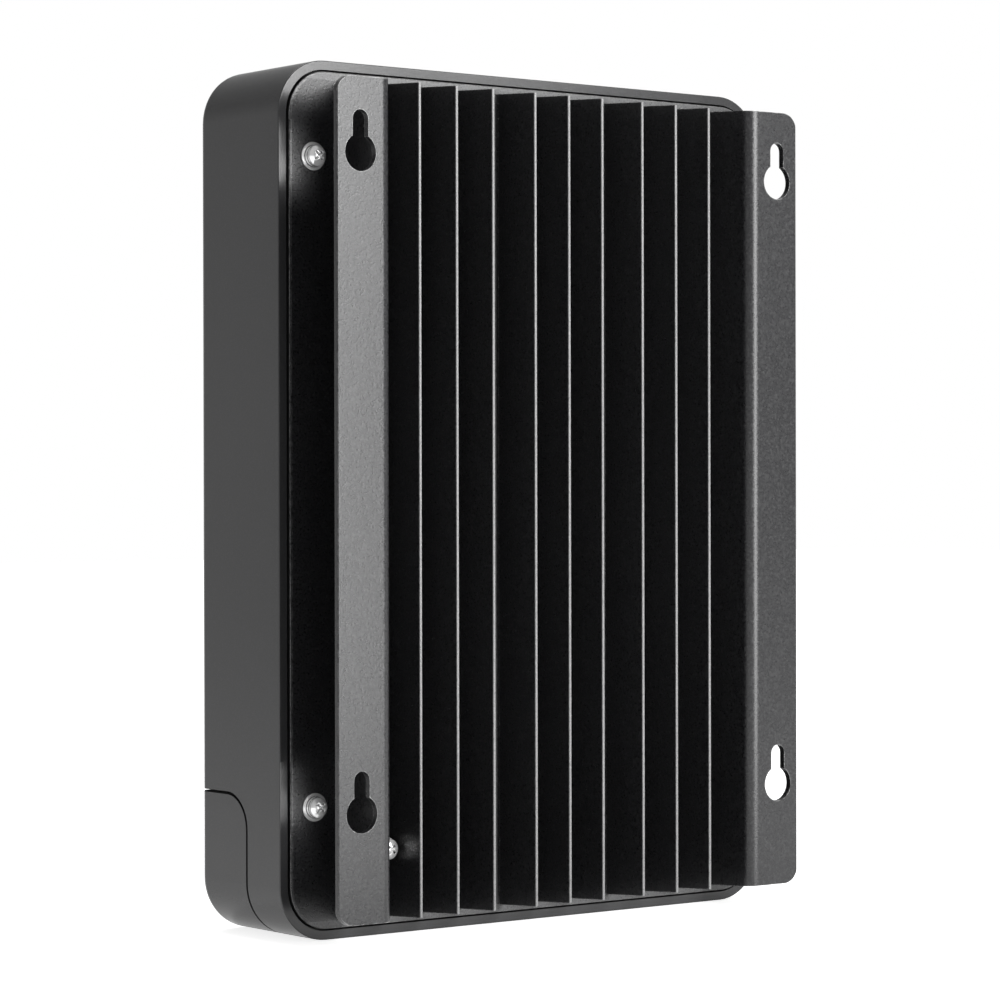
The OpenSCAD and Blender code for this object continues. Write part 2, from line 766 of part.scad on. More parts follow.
// Sizes of the blade fuses above the shelf
fuse_w = 19;
fuse_t = 5;
fuse_holder_d = 9;
fuse_z = shelf_z + floor_t + fuse_t / 2 + 1.3;
fuse_x = [-24, 0];
blade_w = 5;
blade_t = 0.8;

// Inductors lie flat on the front of the board
core_inset = 1.8;
inductor_x = inductor_r + 13;
inductor_z = fuse_z + 6.5 + inductor_r;
module inductor_cores() color("#3a3f45") for (x = [-1, 1]) difference() {
    post(x * inductor_x, board_front_y - core_inset, inductor_z, inductor_r - core_inset,
        inductor_h - 2 * core_inset);
    post(x * inductor_x, board_front_y + 1, inductor_z, inductor_hole_r + core_inset, inductor_h + 2);
}

module inductor_windings() color("#b5622c") for (x = [-1, 1])
    translate([x * inductor_x, board_front_y, inductor_z]) rotate([90, 0, 0]) difference() {
        cylinder(h = inductor_h, r = inductor_r);
        translate([0, 0, -1]) cylinder(h = inductor_h + 2, r = inductor_hole_r);
        translate([0, 0, core_inset]) difference() {
            cylinder(h = inductor_h - 2 * core_inset, r = inductor_r - core_inset);
            translate([0, 0, -1]) cylinder(h = inductor_h, r = inductor_hole_r + core_inset);
        }
        for (i = [0:inductor_turns - 1]) rotate(i * 360 / inductor_turns)
            translate([inductor_r, 0, -1]) cylinder(h = inductor_h + 2, r = 0.9);
    }

// Electrolytic capacitors, with the rolled groove near the foot
module capacitor(x, z) {
    translate([x, board_front_y, z]) rotate([90, 0, 0]) rotate_extrude() difference() {
        square([cap_r, cap_h]);
        translate([cap_r + 0.6, 2.5]) circle(1.2);
    }
}
cap_gap = 3;
capacitor_z = inductor_z + inductor_r + 5 + cap_r;
module input_capacitors() color("#26344d")
    for (i = [0:2]) capacitor(-cap_gap - cap_r - i * (2 * cap_r + cap_gap), capacitor_z);
module output_capacitors() color("#26344d")
    for (i = [0:2]) capacitor(cap_gap + cap_r + i * (2 * cap_r + cap_gap), capacitor_z);

// Blade fuses in their holders
module fuse_holders() color("#303236") for (x = fuse_x) difference() {
    block(x, board_front_y, fuse_z - fuse_t / 2 - 0.5, fuse_w + 1, fuse_holder_d, fuse_t + 1);
    block(x, board_front_y - 3, fuse_z - 2 * blade_t, fuse_w - 2.6, fuse_holder_d, 4 * blade_t);
}
module fuses() color("#c8902a") for (x = fuse_x) {
    block(x, board_front_y - fuse_holder_d, fuse_z - fuse_t / 2, fuse_w, 8, fuse_t);
    for (s = [-1, 1])
        block(x + s * blade_w, board_front_y - 4, fuse_z - blade_t / 2, blade_w,
            fuse_holder_d - 4 + overlap, blade_t);
}

// Terminal block: wire ways from below, screw shafts from the front
module terminal_block() color("#17181a") difference() {
    translate([block_x0, board_front_y - block_d, block_z]) cube([block_w, block_d, block_h]);
    for (x = pole_x) {
        block(x, wire_y + wire_d / 2, block_z - 1, wire_w, wire_d, wire_way_h + 1);
        post(x, wire_y, cage_z + cage_h / 2, 3.4, block_d);
    }
}
cage_z = block_z + wire_way_h - cage_h;
module terminal_cages() color("#c7b98a") for (x = pole_x) difference() {
    block(x, wire_y + wire_d / 2, cage_z, wire_w, wire_d, cage_h);
    block(x, wire_y + wire_d / 2 - cage_t, cage_z - 1, wire_w - 2 * cage_t, wire_d - 2 * cage_t,
        cage_h + 2);
    post(x, wire_y, cage_z + cage_h / 2, 2, block_d);
}
module terminal_screws() color(bright_steel) for (x = pole_x)
    terminal_screw(x, wire_y - wire_d / 2 + cage_t, cage_z + cage_h / 2);

// Slotted clamp screw, its tip level with the inside of the cage
module terminal_screw(x, tip, z) {
    len = tip - (board_front_y - block_d) - 0.8;
    difference() {
        union() {
            post(x, tip, z, 1.9, len);
            post(x, tip - cage_t - 0.1, z, 3.1, len - cage_t - 0.1);
        }
        block(x, tip - len + 1.2, z - 0.5, 8, 3, 1);
    }
}

// Sockets beside the terminal block, open at the base
comm_w = 15.6;
sensor_w = 9;
sensor_x = cover_screw_x - block_inset - sensor_w / 2 - 1.5;
comm_x = (block_x0 + block_w + sensor_x - sensor_w / 2) / 2;
socket_x = [comm_x, sensor_x];
socket_w = [comm_w, sensor_w];
socket_h = 16;
comm_d = 13;
module comm_socket() color("#222326") difference() {
    block(socket_x[0], board_front_y, block_z, comm_w, comm_d, socket_h);
    block(socket_x[0], board_front_y - 2.5, block_z - 1, comm_w - 3.6, comm_d - 4.5, 13);
}
module sensor_socket() color("#dcdcd4") difference() {
    block(socket_x[1], board_front_y, block_z, sensor_w, comm_d, socket_h);
    block(socket_x[1], board_front_y - 2.5, block_z - 1, sensor_w - 2.4, comm_d - 5, 12);
}

// Control chip with a row of leads on each side, and the small supply transformer
chip_x = 28 - board_w / 2;
chip_w = 14;
chip_t = 1.6;
chip_z = board_top - 31;
lead_pitch = 1.2;
lead_w = 0.4;
module control_chip() color("#1d1e20") {
    block(chip_x, board_front_y, chip_z - chip_w / 2, chip_w, chip_t, chip_w);
    for (i = [-5:5], s = [-1, 1])
        block(chip_x + s * (chip_w + 1) / 2, board_front_y, chip_z + i * lead_pitch - lead_w / 2,
            1 + overlap, lead_w, lead_w);
}
aux_x = board_w / 2 - 24;
aux_z = board_top - 22;
aux_w = 18;
aux_foot_h = 3;
aux_core_h = 8;
module aux_transformer() color("#2b2b2e") {
    block(aux_x, board_front_y, aux_z - aux_w / 2 - 1, aux_w, aux_foot_h, aux_w + 2);
    block(aux_x, board_front_y - aux_foot_h + overlap, aux_z - aux_w / 2 + 2, aux_w - 2,
        aux_core_h + overlap, aux_w - 4);
}

// Pin header and socket that join the two boards
header_x = 30;
header_w = 26;
header_t = 5;
header_h = 8;
header_z = display_z - display_board_h / 2 + 5;
pin_w = 0.6;
pin_len = 4;
pin_x = [for (i = [0:7]) header_x + (i - 3.5) * 2.54];
header_gap = board_front_y - display_back_y;
module board_header() color("#18191b") {
    block(header_x, board_front_y, header_z - header_t / 2, header_w, header_h, header_t);
    for (x = pin_x)
        block(x, board_front_y - header_h + overlap, header_z - pin_w / 2, pin_w, pin_len, pin_w);
}
module header_socket() color("#18191b") difference() {
    block(header_x, board_front_y - header_h, header_z - header_t / 2, header_w,
        header_gap - header_h, header_t);
    for (x = pin_x)
        block(x, board_front_y - header_h + 1, header_z - pin_w, 2 * pin_w, pin_len + 1.5,
            2 * pin_w);
}

display_screw_places = [for (x = [-1, 1], z = [-1, 1])
    [x * (display_board_w / 2 - 4), display_z + z * (display_board_h / 2 - 4)]];
module display_board() color("#1f5a3a") difference() {
    block(0, display_back_y, display_z - display_board_h / 2, display_board_w, board_t, display_board_h);
    for (p = display_screw_places) post(p[0], display_back_y + 1, p[1], 1.4, board_t + 2);
}
module display_board_screws() color(bright_steel) for (p = display_screw_places)
    pan_screw(p[0], display_back_y, p[1], display_pilot_r - thread_gap, board_t + 3.5);

module display_module() color("#8fa58c")
    block(0, display_front_y, window_z - window_h / 2 - 3, window_w + 8, lcd_t, window_h + 6);

// Clear window: a lens in the opening and a lip behind the wall
module display_window() color("#2a2d30") {
    upright_plate(window_w - 0.4, window_h - 0.4, 2.8, front_in_y + overlap, wall - 0.3 + overlap,
        window_z - window_h / 2 + 0.2);
    upright_plate(window_w + 2 * lens_lip, window_h + 2 * lens_lip, 3, front_in_y + lens_lip_t,
        lens_lip_t, window_z - window_h / 2 - lens_lip);
}

module light_pipes() color("#d8dadc") for (x = lamp_x) {
    post(x, front_in_y + lamp_gap, lamp_z, pipe_r, wall + lamp_gap - 0.3);
    post(x, front_in_y + lamp_gap, lamp_z, pipe_r + 0.8, lamp_gap);
}
module indicator_lamps() color("#e8e8d8") for (x = lamp_x)
    block(x, display_front_y, lamp_z - lamp_t / 2, lamp_w, display_front_y - front_in_y - lamp_gap,
        lamp_t);

module key_switches() color("#232427") for (x = key_places) difference() {
    block(x, display_front_y, key_z - switch_w / 2, switch_w, switch_body_h, switch_w);
    post(x, display_front_y - 1, key_z, plunger_r + 0.1, switch_body_h);
}

// Keys: cap through the front wall, retaining flange behind it, stem to the plunger
module key_cap(i) {
    x = key_places[i];
    color("#3c3d40") {
        translate([x, 0, 0]) upright_plate(key_w, key_h, 1.8, key_flange_y + overlap,
            key_flange_y - key_front_y + overlap, key_z - key_h / 2);
        translate([x, 0, 0]) upright_plate(key_w + 2 * key_flange, key_h + 2 * key_flange, 2,
            key_flange_y + key_flange_t, key_flange_t, key_z - key_h / 2 - key_flange);
        post(x, plunger_top_y, key_z, 1.5, plunger_top_y - key_flange_y);
    }
}
module plunger(i) color("#c2622c")
    post(key_places[i], switch_y + 1.2, key_z, plunger_r, switch_y + 1.2 - plunger_top_y);

module key_menu() key_cap(0);
module key_up() key_cap(1);
module key_down() key_cap(2);
module key_enter() key_cap(3);
module plunger_menu() plunger(0);
module plunger_up() plunger(1);
module plunger_down() plunger(2);
module plunger_enter() plunger(3);

heatsink();
front_housing();
terminal_cover();
cover_screws();
heatsink_screws();
spring_washers();
flat_washers();
earth_screw();
earth_spacer();
earth_washers();
thermal_pads();
power_transistors();
transistor_clamps();
clamp_screws();
main_board();
board_standoffs();
board_screws();
inductor_cores();
inductor_windings();
input_capacitors();
output_capacitors();
fuse_holders();
fuses();
terminal_block();
terminal_cages();
terminal_screws();
comm_socket();
sensor_socket();
control_chip();
aux_transformer();
board_header();
header_socket();
display_board();
display_board_screws();
display_module();
display_window();
light_pipes();
indicator_lamps();
key_switches();
key_menu();
key_up();
key_down();
key_enter();
plunger_menu();
plunger_up();
plunger_down();
plunger_enter();
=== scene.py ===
import json
import math
import bmesh
import bpy
from mathutils import Matrix, Vector


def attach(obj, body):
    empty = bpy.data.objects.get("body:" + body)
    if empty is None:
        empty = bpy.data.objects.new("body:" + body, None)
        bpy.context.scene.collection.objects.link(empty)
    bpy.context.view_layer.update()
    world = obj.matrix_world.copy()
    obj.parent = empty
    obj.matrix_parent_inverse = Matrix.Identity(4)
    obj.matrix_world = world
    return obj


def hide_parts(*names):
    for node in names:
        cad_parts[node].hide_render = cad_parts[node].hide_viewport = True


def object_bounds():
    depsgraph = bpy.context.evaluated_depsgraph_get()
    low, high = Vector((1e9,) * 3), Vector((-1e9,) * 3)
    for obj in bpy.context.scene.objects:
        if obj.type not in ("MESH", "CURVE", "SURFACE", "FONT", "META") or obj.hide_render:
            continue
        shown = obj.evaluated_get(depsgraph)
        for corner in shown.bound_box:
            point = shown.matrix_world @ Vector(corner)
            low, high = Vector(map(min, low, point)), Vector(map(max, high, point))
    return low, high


MM = 0.001
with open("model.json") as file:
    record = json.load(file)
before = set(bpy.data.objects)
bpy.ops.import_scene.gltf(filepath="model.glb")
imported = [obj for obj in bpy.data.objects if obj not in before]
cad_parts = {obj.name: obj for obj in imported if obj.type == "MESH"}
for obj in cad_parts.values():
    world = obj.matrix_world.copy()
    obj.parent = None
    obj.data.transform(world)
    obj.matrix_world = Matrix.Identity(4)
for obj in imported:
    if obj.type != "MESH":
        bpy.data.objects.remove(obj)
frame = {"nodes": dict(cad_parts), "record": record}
cad_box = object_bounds()
scene = bpy.context.scene
record = frame["record"]
slot_of = {part["node"]: part["material_slot"] for part in record["subparts"]}
body_of = {name: body for body, names in record["behaviour"]["bodies"].items() for name in names}

# Camera: behind the controller, on the +X side of its middle, at about half its height
CAMERA_POSITION = Vector((589.97, 760.67, 122.94)) * MM
CAMERA_YAW = math.radians(37.59)
CAMERA_PITCH = math.radians(0.245)
CAMERA_ROLL = math.radians(-0.113)
CAMERA_LENS = 121.35
SENSOR_WIDTH = 36.0


def place_camera():
    forward = Vector((-math.sin(CAMERA_YAW) * math.cos(CAMERA_PITCH),
                      -math.cos(CAMERA_YAW) * math.cos(CAMERA_PITCH),
                      -math.sin(CAMERA_PITCH)))
    level = Vector((-math.cos(CAMERA_YAW), math.sin(CAMERA_YAW), 0))
    above = level.cross(forward)
    right = math.cos(CAMERA_ROLL) * level + math.sin(CAMERA_ROLL) * above
    up = math.cos(CAMERA_ROLL) * above - math.sin(CAMERA_ROLL) * level
    data = bpy.data.cameras.new("view_from_behind")
    data.lens = CAMERA_LENS
    data.sensor_width = SENSOR_WIDTH
    data.clip_start = 0.01
    camera = bpy.data.objects.new("view_from_behind", data)
    scene.collection.objects.link(camera)
    turn = Matrix((right, up, -forward)).transposed().to_4x4()
    camera.matrix_world = Matrix.Translation(CAMERA_POSITION) @ turn
    scene.camera = camera


place_camera()
scene.view_settings.view_transform = "Standard"


# Node helpers
def add(tree, kind, **settings):
    node = tree.nodes.new(kind)
    for key, value in settings.items():
        setattr(node, key, value)
    return node


def link(tree, out, into):
    tree.links.new(out, into)


def math_node(tree, operation, first, second=0.0):
    """Result of an operation on two values, each a number or a socket."""
    node = add(tree, "ShaderNodeMath", operation=operation)
    for socket, value in zip(node.inputs, (first, second)):
        if isinstance(value, (int, float)):
            socket.default_value = value
        else:
            link(tree, value, socket)
    return node.outputs[0]


def object_place(tree):
    return add(tree, "ShaderNodeTexCoord").outputs["Object"]


def apart(tree, vector):
    """The X, Y and Z outputs of a vector."""
    node = add(tree, "ShaderNodeSeparateXYZ")
    link(tree, vector, node.inputs[0])
    return node.outputs


def new_group(name, inputs, outputs):
    """Shader node group with named number inputs and outputs, all of them plain numbers."""
    tree = bpy.data.node_groups.new(name, "ShaderNodeTree")
    for label, value in inputs:
        socket = tree.interface.new_socket(label, in_out="INPUT", socket_type="NodeSocketFloat")
        socket.default_value = value
    for label in outputs:
        tree.interface.new_socket(label, in_out="OUTPUT", socket_type="NodeSocketFloat")
    return tree, add(tree, "NodeGroupInput"), add(tree, "NodeGroupOutput")


def noise(tree, vector, scale, detail, roughness=0.5):
    node = add(tree, "ShaderNodeTexNoise")
    node.inputs["Detail"].default_value = detail
    node.inputs["Roughness"].default_value = roughness
    if isinstance(scale, (int, float)):
        node.inputs["Scale"].default_value = scale
    else:
        link(tree, scale, node.inputs["Scale"])
    link(tree, vector, node.inputs["Vector"])
    return node.outputs["Fac"]


def spread(tree, value, low, high):
    """Value stretched so that low becomes 0 and high becomes 1, clamped."""
    node = add(tree, "ShaderNodeMapRange", clamp=True)
    node.inputs["From Min"].default_value = low
    node.inputs["From Max"].default_value = high
    link(tree, value, node.inputs["Value"])
    return node.outputs["Result"]


def mix_number(tree, share, low, high):
    """Low where the share is 0, high where it is 1."""
    node = add(tree, "ShaderNodeMapRange", clamp=True)
    link(tree, share, node.inputs["Value"])
    node.inputs["To Min"].default_value = low
    node.inputs["To Max"].default_value = high
    return node.outputs["Result"]


def ramp(tree, value, span, ends):
    """First of the ends where the value is at the start of the span, second at its end."""
    return mix_number(tree, spread(tree, value, *span), *ends)


def mix_colour(tree, share, first, second):
    node = add(tree, "ShaderNodeMix", data_type="RGBA")
    link(tree, share, node.inputs["Factor"])
    colours = [s for s in node.inputs if s.type == "RGBA"]
    for socket, value in zip(colours, (first, second)):
        if isinstance(value, tuple):
            socket.default_value = (*value, 1.0)
        else:
            link(tree, value, socket)
    return [s for s in node.outputs if s.type == "RGBA"][0]


def scaled(colour, factor):
    return tuple(c * factor for c in colour)


# Shared effects, among them painted shade in gaps and paler edges that are partly a painted highlight
def make_surface_grain():
    """Fine grain of a coating or of textured plastic: height, sparse bright specks, slow drift."""
    tree, given, out = new_group("surface_grain", [("Scale", 1500.0), ("Speck Scale", 900.0)],
                                 ["Height", "Speck", "Drift"])
    place = object_place(tree)
    grain = noise(tree, place, given.outputs["Scale"], 3.0, 0.65)
    specks = noise(tree, place, given.outputs["Speck Scale"], 1.0)
    link(tree, grain, out.inputs["Height"])
    link(tree, spread(tree, specks, 0.50, 0.80), out.inputs["Speck"])
    link(tree, spread(tree, noise(tree, place, 9.0, 2.0), 0.3, 0.7), out.inputs["Drift"])
    return tree


def make_edge_wear_and_highlight():
    """Mask of the outer edges, broken up by noise: paler edges that are partly wear and partly a painted
    highlight.
    """
    tree, given, out = new_group("edge_wear_and_highlight", [("Radius", 0.4 * MM), ("Breakup", 700.0)], ["Mask"])
    soft = add(tree, "ShaderNodeBevel", samples=4)
    link(tree, given.outputs["Radius"], soft.inputs["Radius"])
    flat = add(tree, "ShaderNodeNewGeometry").outputs["True Normal"]
    dot = add(tree, "ShaderNodeVectorMath", operation="DOT_PRODUCT")
    link(tree, soft.outputs["Normal"], dot.inputs[0])
    link(tree, flat, dot.inputs[1])
    edge = spread(tree, dot.outputs["Value"], 0.99, 0.80)
    broken = spread(tree, noise(tree, object_place(tree), given.outputs["Breakup"], 2.0), 0.35, 0.6)
    link(tree, math_node(tree, "MULTIPLY", edge, broken), out.inputs["Mask"])
    return tree


def make_recess():
    """Mask that is 0 deep in a narrow gap and 1 on open surfaces, from ambient occlusion, for painting
    shade into gaps.
    """
    tree, given, out = new_group("recess", [("Distance", 1.5 * MM)], ["Open"])
    shade = add(tree, "ShaderNodeAmbientOcclusion", samples=8)
    link(tree, given.outputs["Distance"], shade.inputs["Distance"])
    link(tree, spread(tree, shade.outputs["AO"], 0.50, 0.78), out.inputs["Open"])
    return tree


def make_cut_ends():
    """Mask of the two ends of an extrusion along Z, beyond a distance from its middle height."""
    tree, given, out = new_group("cut_ends", [("Middle", 0.0), ("Half", 0.0)], ["Mask"])
    height = apart(tree, object_place(tree))["Z"]
    away = math_node(tree, "ABSOLUTE", math_node(tree, "SUBTRACT", height, given.outputs["Middle"]))
    link(tree, math_node(tree, "GREATER_THAN", away, given.outputs["Half"]), out.inputs["Mask"])
    return tree


def make_fin_tips():
    """Mask of the fin tips, which lie in one plane across the middle of the heatsink."""
    tree, given, out = new_group("fin_tips", [("Tip", 0.0), ("Depth", 0.0), ("Reach", 0.0)], ["Mask"])
    place = apart(tree, object_place(tree))
    off_tip = math_node(tree, "ABSOLUTE", math_node(tree, "SUBTRACT", place["Y"], given.outputs["Tip"]))
    near = math_node(tree, "LESS_THAN", off_tip, given.outputs["Depth"])
    within = math_node(tree, "LESS_THAN", math_node(tree, "ABSOLUTE", place["X"]), given.outputs["Reach"])
    link(tree, math_node(tree, "MULTIPLY", near, within), out.inputs["Mask"])
    return tree


def make_turned_lines():
    """Fine stretched lines of drawn, turned or brushed metal: height and roughness change."""
    tree, given, out = new_group("turned_lines", [("Scale", 900.0), ("Stretch", 0.06)],
                                 ["Height", "Change"])
    place = object_place(tree)
    along = apart(tree, place)
    stretched = add(tree, "ShaderNodeCombineXYZ")
    link(tree, math_node(tree, "MULTIPLY", along["X"], given.outputs["Stretch"]), stretched.inputs["X"])
    link(tree, along["Y"], stretched.inputs["Y"])
    link(tree, along["Z"], stretched.inputs["Z"])
    lines = noise(tree, stretched.outputs[0], given.outputs["Scale"], 2.0)
    link(tree, lines, out.inputs["Height"])
    link(tree, spread(tree, noise(tree, place, 260.0, 2.0), 0.3, 0.7), out.inputs["Change"])
    return tree


SURFACE_GRAIN = make_surface_grain()
EDGE_WEAR_AND_HIGHLIGHT = make_edge_wear_and_highlight()
TURNED_LINES = make_turned_lines()
PAINTED_GAP_SHADE = make_recess()
CUT_ENDS = make_cut_ends()
FIN_TIPS = make_fin_tips()


def place_group(tree, group, **values):
    node = add(tree, "ShaderNodeGroup", node_tree=group)
    for label, value in values.items():
        node.inputs[label.replace("_", " ")].default_value = value
    return node


def new_material(name, **constants):
    """Material with a Principled shader whose constant sockets are set by name."""
    material = bpy.data.materials.new(name)
    material.use_nodes = True
    tree = material.node_tree
    shader = tree.nodes["Principled BSDF"]
    for label, value in constants.items():
        shader.inputs[label.replace("_", " ")].default_value = value
    return material, tree, shader


def add_bump(tree, shader, height, strength, distance):
    bump = add(tree, "ShaderNodeBump")
    bump.inputs["Strength"].default_value = strength
    bump.inputs["Distance"].default_value = distance
    link(tree, height, bump.inputs["Height"])
    link(tree, bump.outputs["Normal"], shader.inputs["Normal"])


# Measures of the heatsink that the painted highlight on its ends and fin tips follows
HEATSINK_MIDDLE = (cad_box[0].z + cad_box[1].z) / 2
MILLED_STRIP = 5.2 * MM
FIN_TIP_Y = 26.45 * MM
FIN_TIP_DEPTH = 0.4 * MM
FIN_ROW_HALF = 58 * MM

# Finish of coated and moulded surfaces, with painted shade in gaps and painted highlights on edges, ends
# and fin tips
SPECK_SHARE = 0.08
# Paler edges, partly wear and partly a painted highlight
WEAR_AND_HIGHLIGHT_EDGE_RADIUS = 0.45 * MM
# Painted highlight on the fin tips, against that on the ends
FIN_TIP_HIGHLIGHT = 3.0
# Painted shade in gaps: how far it reaches, its colour and the roughness there
GAP_DEPTH = 1.5 * MM
PAINTED_GAP_SHADE_COLOUR = (0.001, 0.001, 0.001)
GAP_ROUGHNESS = 0.6

# Finish of plated and bare metal, with painted shade in narrow gaps
# Painted shade in the narrow gaps of metal: how far it reaches and its colour
METAL_GAP_DEPTH = 0.5 * MM
METAL_PAINTED_GAP_SHADE_COLOUR = (0.02, 0.02, 0.02)
LINE_DEPTH = 0.02 * MM


def cut_and_tip_highlight(tree, grain, highlight_strength):
    """Share of pale colour on the milled ends and the fin tips, a painted highlight, patchy with the
    grain.
    """
    patchy = mix_number(tree, grain.outputs["Height"], highlight_strength * 0.4, highlight_strength * 1.6)
    ends = place_group(tree, CUT_ENDS, Middle=HEATSINK_MIDDLE, Half=HEATSINK_MIDDLE - MILLED_STRIP)
    tips = place_group(tree, FIN_TIPS, Tip=FIN_TIP_Y, Depth=FIN_TIP_DEPTH, Reach=FIN_ROW_HALF)
    tips_highlight = math_node(tree, "MULTIPLY", tips.outputs["Mask"], FIN_TIP_HIGHLIGHT)
    return math_node(tree, "MULTIPLY", math_node(tree, "ADD", ends.outputs["Mask"], tips_highlight), patchy)


def coated(name, colour, light, rough, grain_scale, bump_depth, wear_and_highlight, ior=1.5, cut_highlight=0.0):
    """Coated or moulded surface: grain, slow drift of tone, specks, paler edges that are partly wear and
    partly a painted highlight, painted shade in gaps and, for the extrusion, a painted highlight on the
    milled ends and fin tips."""
    material, tree, shader = new_material(name, IOR=ior)
    grain = place_group(tree, SURFACE_GRAIN, Scale=grain_scale, Speck_Scale=grain_scale)
    edge = place_group(tree, EDGE_WEAR_AND_HIGHLIGHT, Radius=WEAR_AND_HIGHLIGHT_EDGE_RADIUS)
    recess = place_group(tree, PAINTED_GAP_SHADE, Distance=GAP_DEPTH)
    tone = mix_colour(tree, grain.outputs["Drift"], colour, scaled(colour, 1.25))
    speck = math_node(tree, "MULTIPLY", grain.outputs["Speck"], SPECK_SHARE)
    tone = mix_colour(tree, speck, tone, light)
    # Painted highlight: paler milled ends and fin tips
    if cut_highlight:
        tone = mix_colour(tree, cut_and_tip_highlight(tree, grain, cut_highlight), tone, light)
    # Paler edges: partly wear, partly a painted highlight
    wear_and_highlight_share = math_node(tree, "MULTIPLY", edge.outputs["Mask"], wear_and_highlight)
    tone = mix_colour(tree, wear_and_highlight_share, tone, light)
    # Painted shade: gaps darkened to near black by ambient occlusion
    tone = mix_colour(tree, recess.outputs["Open"], PAINTED_GAP_SHADE_COLOUR, tone)
    link(tree, tone, shader.inputs["Base Color"])
    smooth = mix_number(tree, grain.outputs["Height"], rough - 0.08, rough + 0.08)
    dull = mix_number(tree, recess.outputs["Open"], GAP_ROUGHNESS, 0.0)
    link(tree, math_node(tree, "MAXIMUM", smooth, dull), shader.inputs["Roughness"])
    add_bump(tree, shader, grain.outputs["Height"], 1.0, bump_depth)
    return material


def plated_metal(name, colour, rough, metallic=1.0):
    """Bright metal with fine drawn lines, patches of duller plating and painted shade in narrow gaps."""
    material, tree, shader = new_material(name, Metallic=metallic)
    lines = place_group(tree, TURNED_LINES)
    recess = place_group(tree, PAINTED_GAP_SHADE, Distance=METAL_GAP_DEPTH)
    tone = mix_colour(tree, lines.outputs["Change"], colour, scaled(colour, 0.94))
    # Painted shade: narrow gaps darkened by ambient occlusion
    tone = mix_colour(tree, recess.outputs["Open"], METAL_PAINTED_GAP_SHADE_COLOUR, tone)
    link(tree, tone, shader.inputs["Base Color"])
    link(tree, mix_number(tree, lines.outputs["Change"], rough - 0.05, rough + 0.1),
         shader.inputs["Roughness"])
    add_bump(tree, shader, lines.outputs["Height"], 0.6, LINE_DEPTH)
    return material


def moulded(name, colour, rough, grain_scale=2200.0, bump_depth=0.01 * MM):
    """Small moulded part: faint grain and a slow drift of tone."""
    material, tree, shader = new_material(name, IOR=1.5)
    grain = place_group(tree, SURFACE_GRAIN, Scale=grain_scale, Speck_Scale=grain_scale * 0.5)
    tone = mix_colour(tree, grain.outputs["Drift"], colour, scaled(colour, 0.82))
    link(tree, tone, shader.inputs["Base Color"])
    link(tree, mix_number(tree, grain.outputs["Height"], rough - 0.06, rough + 0.06),
         shader.inputs["Roughness"])
    add_bump(tree, shader, grain.outputs["Height"], 1.0, bump_depth)
    return material


def clear_plastic(name, colour, rough, transmission):
    material, tree, shader = new_material(name, IOR=1.49, Transmission_Weight=transmission)
    grain = place_group(tree, SURFACE_GRAIN, Scale=400.0, Speck_Scale=300.0)
    tone = mix_colour(tree, grain.outputs["Drift"], colour, scaled(colour, 0.9))
    link(tree, tone, shader.inputs["Base Color"])
    link(tree, mix_number(tree, grain.outputs["Height"], rough, rough + 0.04),
         shader.inputs["Roughness"])
    return material


def board_laminate(name, mask_colour, track_colour):
    """Green solder mask over a faint pattern of copper tracks."""
    material, tree, shader = new_material(name, IOR=1.5)
    cells = add(tree, "ShaderNodeTexVoronoi", distance="MANHATTAN", feature="F1")
    cells.inputs["Scale"].default_value = 220.0
    link(tree, object_place(tree), cells.inputs["Vector"])
    tracks = spread(tree, cells.outputs["Distance"], 0.42, 0.5)
    link(tree, mix_colour(tree, tracks, mask_colour, track_colour), shader.inputs["Base Color"])
    link(tree, mix_number(tree, tracks, 0.25, 0.35), shader.inputs["Roughness"])
    add_bump(tree, shader, tracks, 0.5, 0.03 * MM)
    return material


def wound_wire(name, dark, bright):
    """Enamelled copper wire: fine lines round the core."""
    material, tree, shader = new_material(name, Metallic=0.7, Coat_Weight=0.6, Coat_Roughness=0.15)
    lines = place_group(tree, TURNED_LINES, Scale=1400.0, Stretch=1.0)
    link(tree, mix_colour(tree, lines.outputs["Height"], dark, bright), shader.inputs["Base Color"])
    link(tree, mix_number(tree, lines.outputs["Change"], 0.25, 0.4), shader.inputs["Roughness"])
    add_bump(tree, shader, lines.outputs["Height"], 0.8, 0.06 * MM)
    return material


